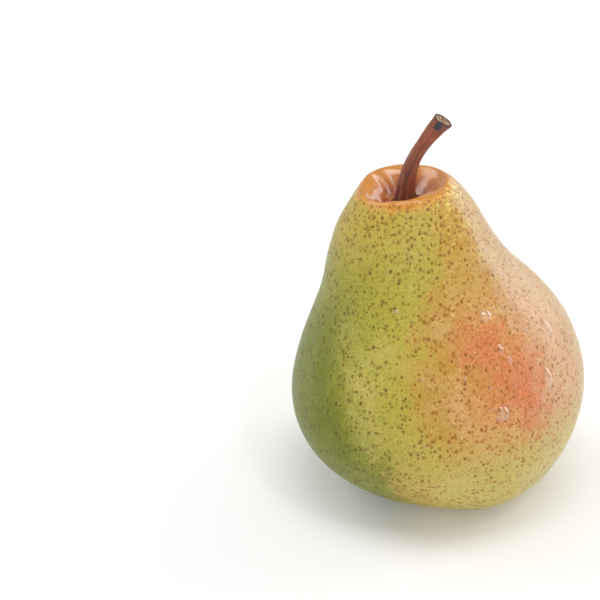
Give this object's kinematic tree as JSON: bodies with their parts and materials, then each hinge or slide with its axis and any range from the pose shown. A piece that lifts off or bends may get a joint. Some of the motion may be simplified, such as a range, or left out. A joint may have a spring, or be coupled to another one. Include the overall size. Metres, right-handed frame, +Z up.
{
  "type": "pear",
  "caption": "A fresh green pear with a red blush, standing on its calyx end, with a curved woody stem in a russet cavity.",
  "frame": {"origin": "on the surface that the pear stands on, under the middle of the belly", "axes": "+Z up. The crown leans towards -X, the stem bends towards +X, and the blush faces +X. The seen side faces -Y"},
  "size_m": [0.0704, 0.0694, 0.0971],
  "materials": {
    "skin": "smooth waxy pear skin, green with a red blush on the +X side, brown lenticels and a russet stem cavity",
    "stem_wood": "smooth red-brown bark with fine ridges, pale fibrous wood at the cut end",
    "dried_calyx": "dry, dark brown and papery"
  },
  "bodies": {
    "root": {"fruit": "skin", "stem": "stem_wood", "sepal_1": "dried_calyx", "sepal_2": "dried_calyx", "sepal_3": "dried_calyx", "sepal_4": "dried_calyx", "sepal_5": "dried_calyx", "stamen_tuft": "dried_calyx"}
  },
  "joints": []
}
